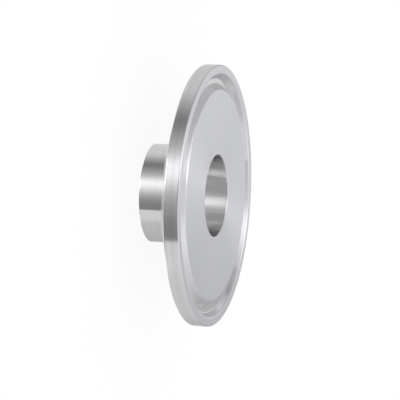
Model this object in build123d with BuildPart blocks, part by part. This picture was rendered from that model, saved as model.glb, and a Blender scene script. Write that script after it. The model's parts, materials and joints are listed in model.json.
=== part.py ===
"""Clamp ferrule: a pipe collar turned from one piece of stainless bar.

A round clamp flange with a gasket groove in its sealing face carries a short
weld tube on its back, and one straight bore runs through both. The origin is
at the middle of the weld end, +Z runs along the bore to the sealing face, and
all sizes are in millimetres.
"""

import os
from math import radians, tan

from build123d import *

# Driving dimensions of the flange
flange_diameter = 50.5
rim_width = 2.85  # straight edge of the flange, measured along the bore
clamp_angle = 20.0  # slope of the clamp taper from the plane of the flange
hub_diameter = 32.0  # flat back inside the clamp taper

# Driving dimensions of the weld tube, whose bore runs on through the flange
tube_diameter = 19.05
tube_wall = 1.65
overall_length = 12.7  # weld end to sealing face

# Driving dimensions of the gasket groove, a flat floor between two sloping flanks in section
groove_inset = 3.05  # flange edge to the middle of the floor
groove_depth = 1.15
groove_floor_width = 1.1
groove_outer_angle = 60.0  # slope of the flank towards the edge, from the sealing face
groove_inner_angle = 45.0

# Driving dimensions of the corners
root_radius = 1.0  # inside corner between the tube and the flat back
hub_edge_radius = 0.5
rim_edge_radius = 0.25
groove_outer_lip_radius = 0.5
groove_inner_lip_radius = 0.7
groove_floor_radius = 0.4  # inside corners between the floor and the flanks
bore_edge_radius = 0.2
weld_edge_radius = 0.1  # deburred corners of the square-cut weld end

# Sizes that follow from them
flange_radius = flange_diameter / 2
hub_radius = hub_diameter / 2
tube_radius = tube_diameter / 2
bore_radius = tube_radius - tube_wall
rim_back = overall_length - rim_width
hub_back = rim_back - (flange_radius - hub_radius) * tan(radians(clamp_angle))
groove_middle = flange_radius - groove_inset
groove_bottom = overall_length - groove_depth
floor_outside = groove_middle + groove_floor_width / 2
floor_inside = groove_middle - groove_floor_width / 2
lip_outside = floor_outside + groove_depth / tan(radians(groove_outer_angle))
lip_inside = floor_inside - groove_depth / tan(radians(groove_inner_angle))

with BuildPart() as clamp_ferrule:
    # Half section, radius across and height up
    with BuildSketch(Plane.XZ) as half_section:
        with BuildLine():
            Polyline(
                (bore_radius, 0),
                (tube_radius, 0),
                (tube_radius, hub_back),
                (hub_radius, hub_back),
                (flange_radius, rim_back),
                (flange_radius, overall_length),
                (lip_outside, overall_length),
                (floor_outside, groove_bottom),
                (floor_inside, groove_bottom),
                (lip_inside, overall_length),
                (bore_radius, overall_length),
                close=True,
            )
        make_face()

        # Corners, rounded one by one
        for place, radius in (
            ((tube_radius, hub_back), root_radius),
            ((hub_radius, hub_back), hub_edge_radius),
            ((flange_radius, rim_back), rim_edge_radius),
            ((flange_radius, overall_length), rim_edge_radius),
            ((lip_outside, overall_length), groove_outer_lip_radius),
            ((floor_outside, groove_bottom), groove_floor_radius),
            ((floor_inside, groove_bottom), groove_floor_radius),
            ((lip_inside, overall_length), groove_inner_lip_radius),
            ((bore_radius, overall_length), bore_edge_radius),
            ((bore_radius, 0), weld_edge_radius),
            ((tube_radius, 0), weld_edge_radius),
        ):
            fillet(half_section.vertices().sort_by_distance(place)[0], radius)

    revolve(axis=Axis.Z)

clamp_ferrule.part.label = "clamp_ferrule"

os.makedirs("parts", exist_ok=True)
export_step(clamp_ferrule.part, "parts/clamp_ferrule.step")
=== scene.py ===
"""A clamp ferrule in a white studio: one turned stainless pipe collar, seen as in the photograph.

The part stands on its weld end at the origin, with its sealing face up. Lengths are in metres.
"""

import json
from math import cos, hypot, pi, radians, sin, tan

import bpy
from mathutils import Matrix, Vector


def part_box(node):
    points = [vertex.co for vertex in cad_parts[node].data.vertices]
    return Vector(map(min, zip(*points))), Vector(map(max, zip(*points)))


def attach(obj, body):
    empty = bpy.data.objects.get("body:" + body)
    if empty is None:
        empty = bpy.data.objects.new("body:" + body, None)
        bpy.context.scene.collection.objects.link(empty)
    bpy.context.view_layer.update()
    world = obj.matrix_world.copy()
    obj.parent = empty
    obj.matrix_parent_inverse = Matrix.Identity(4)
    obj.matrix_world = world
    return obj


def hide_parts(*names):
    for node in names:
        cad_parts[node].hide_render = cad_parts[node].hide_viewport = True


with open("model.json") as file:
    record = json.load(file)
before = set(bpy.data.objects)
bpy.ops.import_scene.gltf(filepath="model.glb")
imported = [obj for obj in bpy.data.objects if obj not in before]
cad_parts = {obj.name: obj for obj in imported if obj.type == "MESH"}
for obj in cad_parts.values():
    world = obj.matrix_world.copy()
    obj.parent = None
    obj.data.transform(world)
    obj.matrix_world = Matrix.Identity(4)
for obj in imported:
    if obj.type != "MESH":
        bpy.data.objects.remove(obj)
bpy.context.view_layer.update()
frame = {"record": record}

# Clamp ferrule, the whole object.
# A round clamp flange with a gasket groove, a short weld tube and a straight bore, all one piece
# of stainless bar. It is turned on a lathe, so its form is one section spun about the bore.
mm = 0.001
mounts = {mount["name"]: mount["dims"] for mount in frame["record"]["mounts"]}
_, ferrule_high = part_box("clamp_ferrule")

flange_radius = ferrule_high.x
face_height = ferrule_high.z
tube_radius = mounts["weld_tube"]["r_mm"] * mm
bore_radius = mounts["bore"]["r_mm"] * mm
rim_width = 2.85 * mm
clamp_angle = radians(20)
hub_radius = 16 * mm
rim_back = face_height - rim_width
hub_back = rim_back - (flange_radius - hub_radius) * tan(clamp_angle)

groove_inset = 3.05 * mm
groove_depth = 1.15 * mm
groove_floor_width = 1.1 * mm
outer_flank_angle = radians(60)
inner_flank_angle = radians(45)
groove_middle = flange_radius - groove_inset
floor_height = face_height - groove_depth
floor_outer_edge = groove_middle + groove_floor_width / 2
floor_inner_edge = groove_middle - groove_floor_width / 2

root_radius = 1.0 * mm
hub_edge = 0.5 * mm
rim_edge = 0.25 * mm
outer_lip = 0.5 * mm
inner_lip = 0.7 * mm
floor_corner = 0.4 * mm
bore_edge = 0.2 * mm
weld_edge = 0.1 * mm

# How finely the tool goes: along an arc, close to the ends of a flat, and round the bore.
arc_step = radians(6)
fewest_arc_steps = 3
holding_run = 0.06 * mm
steps_round = 360

# Points closer than this become one, and faces that meet at less than this are shaded as one.
merge_distance = 0.001 * mm
crease_angle = radians(30)


def tool_place():
    """The one selected vertex, where the turning tool is now, as (radius, height)."""
    mesh = bpy.context.edit_object.data
    bpy.context.edit_object.update_from_editmode()
    place = next(vertex.co for vertex in mesh.vertices if vertex.select)
    return place.x, place.z


def cut_straight(radius, height):
    """Moves the tool in a straight line, with a point near each end that keeps the flat true."""
    start = Vector(tool_place())
    run = Vector((radius, height)) - start
    hold = run.normalized() * holding_run
    done = Vector((0, 0))
    for stop in (hold, run - hold, run):
        step = stop - done
        bpy.ops.mesh.extrude_vertices_move(TRANSFORM_OT_translate={"value": (step.x, 0, step.y)})
        done = stop


def cut_arc(centre, turn):
    """Swings the tool about a centre, by an angle that is positive from +Z towards +X."""
    bpy.ops.mesh.spin(
        steps=max(fewest_arc_steps, round(abs(turn) / arc_step)),
        angle=turn,
        center=(centre.x, 0, centre.y),
        axis=(0, -1, 0),
    )


def round_corner(before, corner, after, radius):
    """Cuts up to a corner of the section and rounds it."""
    before, corner, after = Vector(before), Vector(corner), Vector(after)
    inwards = (before - corner).normalized()
    outwards = (after - corner).normalized()
    half = inwards.angle(outwards) / 2
    reach = radius / tan(half)
    centre = corner + (inwards + outwards).normalized() * radius / sin(half)
    start = corner + inwards * reach
    end = corner + outwards * reach
    cut_straight(*start)
    cut_arc(centre, (start - centre).angle_signed(end - centre))


# Corners of the half section, as (radius, height).
weld_middle = ((bore_radius + tube_radius) / 2, 0)
weld_outside = (tube_radius, 0)
tube_root = (tube_radius, hub_back)
hub_corner = (hub_radius, hub_back)
rim_back_corner = (flange_radius, rim_back)
rim_face_corner = (flange_radius, face_height)
lip_outside = (floor_outer_edge + groove_depth / tan(outer_flank_angle), face_height)
floor_outside = (floor_outer_edge, floor_height)
floor_inside = (floor_inner_edge, floor_height)
lip_inside = (floor_inner_edge - groove_depth / tan(inner_flank_angle), face_height)
bore_mouth = (bore_radius, face_height)
weld_inside = (bore_radius, 0)

bpy.ops.object.select_all(action="DESELECT")
bpy.ops.mesh.primitive_plane_add(size=mm, location=(weld_middle[0], 0, 0))
ferrule = bpy.context.object
ferrule.name = "turned_ferrule"
bpy.ops.object.transform_apply(location=True)
bpy.ops.object.mode_set(mode="EDIT")
bpy.ops.mesh.select_all(action="SELECT")
bpy.ops.mesh.merge(type="CENTER")
bpy.ops.mesh.select_mode(type="VERT")

# The tool goes up the tube, out along the back, in over the sealing face and down the bore.
round_corner(weld_middle, weld_outside, tube_root, weld_edge)
round_corner(weld_outside, tube_root, hub_corner, root_radius)
round_corner(tube_root, hub_corner, rim_back_corner, hub_edge)
round_corner(hub_corner, rim_back_corner, rim_face_corner, rim_edge)
round_corner(rim_back_corner, rim_face_corner, lip_outside, rim_edge)
round_corner(rim_face_corner, lip_outside, floor_outside, outer_lip)
round_corner(lip_outside, floor_outside, floor_inside, floor_corner)
round_corner(floor_outside, floor_inside, lip_inside, floor_corner)
round_corner(floor_inside, lip_inside, bore_mouth, inner_lip)
round_corner(lip_inside, bore_mouth, weld_inside, bore_edge)
round_corner(bore_mouth, weld_inside, weld_outside, weld_edge)
cut_straight(*weld_middle)

bpy.ops.mesh.select_all(action="SELECT")
bpy.ops.mesh.remove_doubles(threshold=merge_distance)
bpy.ops.mesh.spin(steps=steps_round, angle=2 * pi, center=(0, 0, 0), axis=(0, 0, 1))
bpy.ops.mesh.select_all(action="SELECT")
bpy.ops.mesh.remove_doubles(threshold=merge_distance)
bpy.ops.mesh.normals_make_consistent(inside=False)
bpy.ops.object.mode_set(mode="OBJECT")
bpy.ops.object.shade_smooth_by_angle(angle=crease_angle)

# Tool marks: fine lines, and wider bands of them that differ in tone.
line_length = 25 * mm
line_detail = 2
lines_in_band = 3
band_length = 60 * mm
band_detail = 3

# Most of the noise that draws them lies between these.
noise_low = 0.3
noise_high = 0.7

# The gloss is drawn out across them, a quarter turn from the way they run.
gloss_turn = 0.25


def turned_finish(name, colour, roughness, anisotropy, line_width, line_height, tone, grain):
    """Stainless steel with tool marks round the bore, finer or coarser for each surface.

    Tone is the share by which the colour differs from band to band, and grain the share by which
    the roughness differs from line to line.
    """
    finish = bpy.data.materials.new(name)
    finish.use_nodes = True
    nodes = finish.node_tree.nodes
    link = finish.node_tree.links.new
    steel = nodes["Principled BSDF"]
    steel.inputs["Metallic"].default_value = 1
    steel.inputs["Anisotropic"].default_value = anisotropy
    steel.inputs["Anisotropic Rotation"].default_value = gloss_turn

    # Distance across the tool marks: out from the bore and up along it.
    place = nodes.new("ShaderNodeTexCoord")
    split = nodes.new("ShaderNodeSeparateXYZ")
    flat = nodes.new("ShaderNodeCombineXYZ")
    radius = nodes.new("ShaderNodeVectorMath")
    radius.operation = "LENGTH"
    across = nodes.new("ShaderNodeMath")
    across.operation = "ADD"
    marks_place = nodes.new("ShaderNodeCombineXYZ")
    link(place.outputs["Object"], split.inputs["Vector"])
    link(split.outputs["X"], flat.inputs["X"])
    link(split.outputs["Y"], flat.inputs["Y"])
    link(flat.outputs["Vector"], radius.inputs[0])
    link(radius.outputs["Value"], across.inputs[0])
    link(split.outputs["Z"], across.inputs[1])
    link(split.outputs["X"], marks_place.inputs["X"])
    link(split.outputs["Y"], marks_place.inputs["Y"])
    link(across.outputs["Value"], marks_place.inputs["Z"])

    def marks(width, length, detail):
        """Noise drawn out round the bore, in marks of this width and length."""
        stretch = nodes.new("ShaderNodeVectorMath")
        stretch.operation = "MULTIPLY"
        stretch.inputs[1].default_value = (1 / length, 1 / length, 1 / width)
        noise = nodes.new("ShaderNodeTexNoise")
        noise.inputs["Scale"].default_value = 1
        noise.inputs["Detail"].default_value = detail
        link(marks_place.outputs["Vector"], stretch.inputs[0])
        link(stretch.outputs["Vector"], noise.inputs["Vector"])
        return noise.outputs["Fac"]

    def spread(source, low, high):
        """The noise as values from low to high."""
        scale = nodes.new("ShaderNodeMapRange")
        scale.inputs["From Min"].default_value = noise_low
        scale.inputs["From Max"].default_value = noise_high
        scale.inputs["To Min"].default_value = low
        scale.inputs["To Max"].default_value = high
        link(source, scale.inputs["Value"])
        return scale.outputs["Result"]

    lines = marks(line_width, line_length, line_detail)
    bands = marks(line_width * lines_in_band, band_length, band_detail)

    dull = [part * (1 - tone) for part in colour]
    bright = [part * (1 + tone) for part in colour]
    tint = nodes.new("ShaderNodeMix")
    tint.data_type = "RGBA"
    tint.inputs["A"].default_value = (*dull, 1)
    tint.inputs["B"].default_value = (*bright, 1)
    link(spread(bands, 0, 1), tint.inputs["Factor"])
    link(tint.outputs["Result"], steel.inputs["Base Color"])

    smooth = roughness * (1 - grain)
    rough = roughness * (1 + grain)
    link(spread(lines, smooth, rough), steel.inputs["Roughness"])

    if line_height > 0:
        bump = nodes.new("ShaderNodeBump")
        bump.inputs["Distance"].default_value = line_height
        link(lines, bump.inputs["Height"])
        link(bump.outputs["Normal"], steel.inputs["Normal"])

    around = nodes.new("ShaderNodeTangent")
    around.direction_type = "RADIAL"
    around.axis = "Z"
    link(around.outputs["Tangent"], steel.inputs["Tangent"])
    return finish


face_finish = turned_finish(
    "fine_turned_face",
    colour=(0.775, 0.783, 0.83),
    roughness=0.22,
    anisotropy=0.92,
    line_width=0.15 * mm,
    line_height=0.0001 * mm,
    tone=0.01,
    grain=0.1,
)
groove_finish = turned_finish(
    "turned_groove",
    colour=(0.78, 0.785, 0.80),
    roughness=0.10,
    anisotropy=0.9,
    line_width=0.2 * mm,
    line_height=0,
    tone=0.02,
    grain=0.1,
)
rim_finish = turned_finish(
    "brushed_rim",
    colour=(0.77, 0.757, 0.775),
    roughness=0.17,
    anisotropy=1,
    line_width=0.25 * mm,
    line_height=0.001 * mm,
    tone=0.05,
    grain=0.12,
)
tube_finish = turned_finish(
    "polished_tube",
    colour=(0.79, 0.785, 0.79),
    roughness=0.11,
    anisotropy=0.9,
    line_width=0.3 * mm,
    line_height=0,
    tone=0.02,
    grain=0.1,
)
bore_finish = turned_finish(
    "honed_bore",
    colour=(0.79, 0.785, 0.79),
    roughness=0.27,
    anisotropy=1,
    line_width=0.3 * mm,
    line_height=0,
    tone=0.01,
    grain=0.01,
)
finishes = [face_finish, groove_finish, rim_finish, tube_finish, bore_finish]
for finish in finishes:
    ferrule.data.materials.append(finish)

# Where each finish ends, by radius and height, and by how far a face looks up.
bore_reach = bore_radius + bore_edge / 4
tube_reach = tube_radius + root_radius
root_top = hub_back + root_radius
flat_face_base = floor_height + floor_corner
straight_up = 0.999
slightly_up = 0.05

for face in ferrule.data.polygons:
    radius = hypot(face.center.x, face.center.y)
    if radius < bore_reach:
        finish = bore_finish
    elif face.normal.z > straight_up and face.center.z > flat_face_base:
        finish = face_finish
    elif radius < tube_reach and face.center.z < root_top:
        finish = tube_finish
    elif face.normal.z > slightly_up:
        finish = groove_finish
    else:
        finish = rim_finish
    face.material_index = finishes.index(finish)

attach(ferrule, "root")
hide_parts("clamp_ferrule")

# Studio floor.
# A plain white sweep of matt paper that the part stands on. It glows for the camera and so stays
# white, takes the part's soft shadow, and isn't mirrored by the metal.
floor_width = 4
shadow_share = 0.1

bpy.ops.object.select_all(action="DESELECT")
bpy.ops.mesh.primitive_plane_add(size=floor_width, location=(0, 0, 0))
floor = bpy.context.object
floor.name = "studio_floor"
floor.visible_glossy = False
paper = bpy.data.materials.new("white_sweep")
paper.use_nodes = True
paper_nodes = paper.node_tree.nodes
paper_link = paper.node_tree.links.new
paper_nodes.remove(paper_nodes["Principled BSDF"])
paper_ray = paper_nodes.new("ShaderNodeLightPath")
glow_strength = paper_nodes.new("ShaderNodeMath")
glow_strength.operation = "MULTIPLY"
glow_strength.inputs[1].default_value = 1 - shadow_share
glow = paper_nodes.new("ShaderNodeEmission")
glow.inputs["Color"].default_value = (1, 1, 1, 1)
shaded = paper_nodes.new("ShaderNodeBsdfDiffuse")
shaded.inputs["Color"].default_value = (shadow_share, shadow_share, shadow_share, 1)
both = paper_nodes.new("ShaderNodeAddShader")
paper_link(paper_ray.outputs["Is Camera Ray"], glow_strength.inputs[0])
paper_link(glow_strength.outputs["Value"], glow.inputs["Strength"])
paper_link(glow.outputs["Emission"], both.inputs[0])
paper_link(shaded.outputs["BSDF"], both.inputs[1])
paper_link(both.outputs["Shader"], paper_nodes["Material Output"].inputs["Surface"])
floor.data.materials.append(paper)

# Studio light.
# A white room with soft boxes, lamps and grey or black cards round the part, so that the bare
# metal has something to mirror. They hang out of view, some high up and some below the bench.
room_brightness = 0.77

world = bpy.data.worlds.new("studio")
world.use_nodes = True
room_nodes = world.node_tree.nodes
room_link = world.node_tree.links.new


def room_math(operation, *values):
    """A Math node of the room, fed by sockets or plain numbers."""
    node = room_nodes.new("ShaderNodeMath")
    node.operation = operation
    for socket, value in zip(node.inputs, values):
        if isinstance(value, (int, float)):
            socket.default_value = value
        else:
            room_link(value, socket)
    return node.outputs["Value"]


def soft_step(value, edge, blur):
    """0 below an edge and 1 above it, or the other way round for a negative blur."""
    step = room_nodes.new("ShaderNodeMapRange")
    step.interpolation_type = "SMOOTHSTEP"
    step.inputs["From Min"].default_value = radians(edge - blur)
    step.inputs["From Max"].default_value = radians(edge + blur)
    room_link(value, step.inputs["Value"])
    return step.outputs["Result"]


# Azimuth is 0 on the camera's side and 90 towards -X, and height is 0 level with the part.
direction = room_nodes.new("ShaderNodeTexCoord")
parts = room_nodes.new("ShaderNodeSeparateXYZ")
room_link(direction.outputs["Generated"], parts.inputs["Vector"])
away_x = room_math("MULTIPLY", parts.outputs["X"], -1)
away_y = room_math("MULTIPLY", parts.outputs["Y"], -1)
azimuth_here = room_math("ARCTAN2", away_x, away_y)
height_here = room_math("ARCSINE", parts.outputs["Z"])


def hang_card(name, room, brightness, azimuth, height, side_blur, end_blur):
    """The room's brightness with one more card in it, which covers what hangs behind it.

    The card reaches from one azimuth to the other and from one height to the other, in degrees.
    Each of its sides and ends fades over as many degrees either way as its blur says.
    """
    left, right = azimuth
    bottom, top = height
    half = (right - left) / 2
    turned_away = room_math("SUBTRACT", azimuth_here, radians(left + half))
    turned_away = room_math("WRAP", turned_away, pi, -pi)
    left_side = soft_step(turned_away, -half, side_blur[0])
    right_side = soft_step(turned_away, half, -side_blur[1])
    bottom_end = soft_step(height_here, bottom, end_blur[0])
    top_end = soft_step(height_here, top, -end_blur[1])
    sides = room_math("MULTIPLY", left_side, right_side)
    ends = room_math("MULTIPLY", bottom_end, top_end)
    card = room_nodes.new("ShaderNodeMix")
    card.label = name
    card.inputs["B"].default_value = brightness
    room_link(room_math("MULTIPLY", sides, ends), card.inputs["Factor"])
    room_link(room, card.inputs["A"])
    return card.outputs["Result"]


bare_room = room_nodes.new("ShaderNodeValue")
bare_room.outputs["Value"].default_value = room_brightness
room = bare_room.outputs["Value"]

# Soft boxes, strip lights and panels, with the grey cards and flags between them.
room = hang_card("ceiling_panel", room, 0.93, (180, 310), (52, 75), (14, 22), (8, 10))
room = hang_card("key_softbox", room, 1.15, (15, 52), (12, 62), (13, 18), (3, 4))
room = hang_card("top_softbox", room, 1.4, (52, 130), (68, 86), (24, 17), (7, 8))
room = hang_card("rear_softbox", room, 1.6, (115, 175), (40, 72), (15, 8), (10, 20))
room = hang_card("front_strip_light", room, 1.55, (1, 34), (-70, -17), (22, 12), (10, 2))
room = hang_card("grey_panel", room, 0.54, (80, 168), (-15, 57), (7, 8), (4, 13))
room = hang_card("rear_strip_light", room, 3.0, (173, 176), (40, 54), (1.5, 1.5), (3, 3))
room = hang_card("rear_grey_card", room, 0.48, (181, 275), (10, 28), (1, 12), (4, 22))
room = hang_card("left_belt", room, 0.43, (150, 174), (-8, 10), (9, 11), (6, 2))
room = hang_card("right_belt", room, 0.45, (181, 220), (-15, 15), (2, 15), (2, 8))
room = hang_card("upper_flag", room, 0.2, (45, 86), (-65, 28), (29, 23), (3, 12))
room = hang_card("lower_flag", room, 0.26, (318, 357), (-75, 36), (1, 30), (8, 25))
room = hang_card("low_card", room, 0.45, (188, 290), (-19, -16), (9, 11), (1, 2))
room = hang_card("camera_side", room, 0.15, (-12, 12), (-8, 20), (6, 6), (5, 5))

# Small cards that the flanks of the groove mirror.
room = hang_card("panel_shade", room, 0.4, (94, 114), (14, 28), (4, 4), (4, 4))
room = hang_card("panel_gap", room, 0.7, (118, 140), (1, 14), (4, 4), (4, 4))
room = hang_card("side_light", room, 0.68, (226, 256), (4, 16), (5, 5), (4, 4))

# Low card and lamps that only the bore, the inside corners and the clamp taper mirror.
room = hang_card("bench_card", room, 0.1, (292, 341), (-72, -36), (3, 10), (5, 3))
room = hang_card("edge_light", room, 1.3, (84, 104), (-75, -36), (3, 4), (5, 3))
room = hang_card("bench_lamp", room, 4.4, (8, 37), (-66, -40), (8, 6), (5, 3))
room = hang_card("side_lamp", room, 2.4, (265, 284), (-62, -41), (6, 3), (5, 4))

# The camera sees plain white, the metal mirrors the cards, and the floor gets a plain level.
ray = room_nodes.new("ShaderNodeLightPath")
mirrored = room_math("MAXIMUM", ray.outputs["Is Glossy Ray"], ray.outputs["Is Transmission Ray"])
shown = room_nodes.new("ShaderNodeMix")
shown.inputs["A"].default_value = 1
room_link(mirrored, shown.inputs["Factor"])
room_link(room, shown.inputs["B"])
room_link(shown.outputs["Result"], room_nodes["Background"].inputs["Color"])
bpy.context.scene.world = world

# Camera.
# It looks at the rim from the side, a little from above the sealing face, through a long lens. The
# part stands here and lies on its side in the photograph, so the camera lies on its side instead.
view_elevation = radians(16.39)
view_roll = radians(92.99)
view_distance = 490.3 * mm
aim = Vector((0.97, 0.83, 9.16)) * mm
focal_length = 228.1
sensor_width = 36
nearest_seen = 10 * mm

back = Vector((0, -cos(view_elevation), sin(view_elevation)))
upright = back.to_track_quat("Z", "Y").to_matrix()
turned = upright @ Matrix.Rotation(view_roll, 3, "Z")
camera_data = bpy.data.cameras.new("camera")
camera_data.lens = focal_length
camera_data.sensor_width = sensor_width
camera_data.clip_start = nearest_seen
camera = bpy.data.objects.new("camera", camera_data)
camera.matrix_world = Matrix.LocRotScale(aim + back * view_distance, turned, None)
bpy.context.scene.collection.objects.link(camera)
bpy.context.scene.camera = camera

bpy.context.scene.view_settings.view_transform = "Standard"
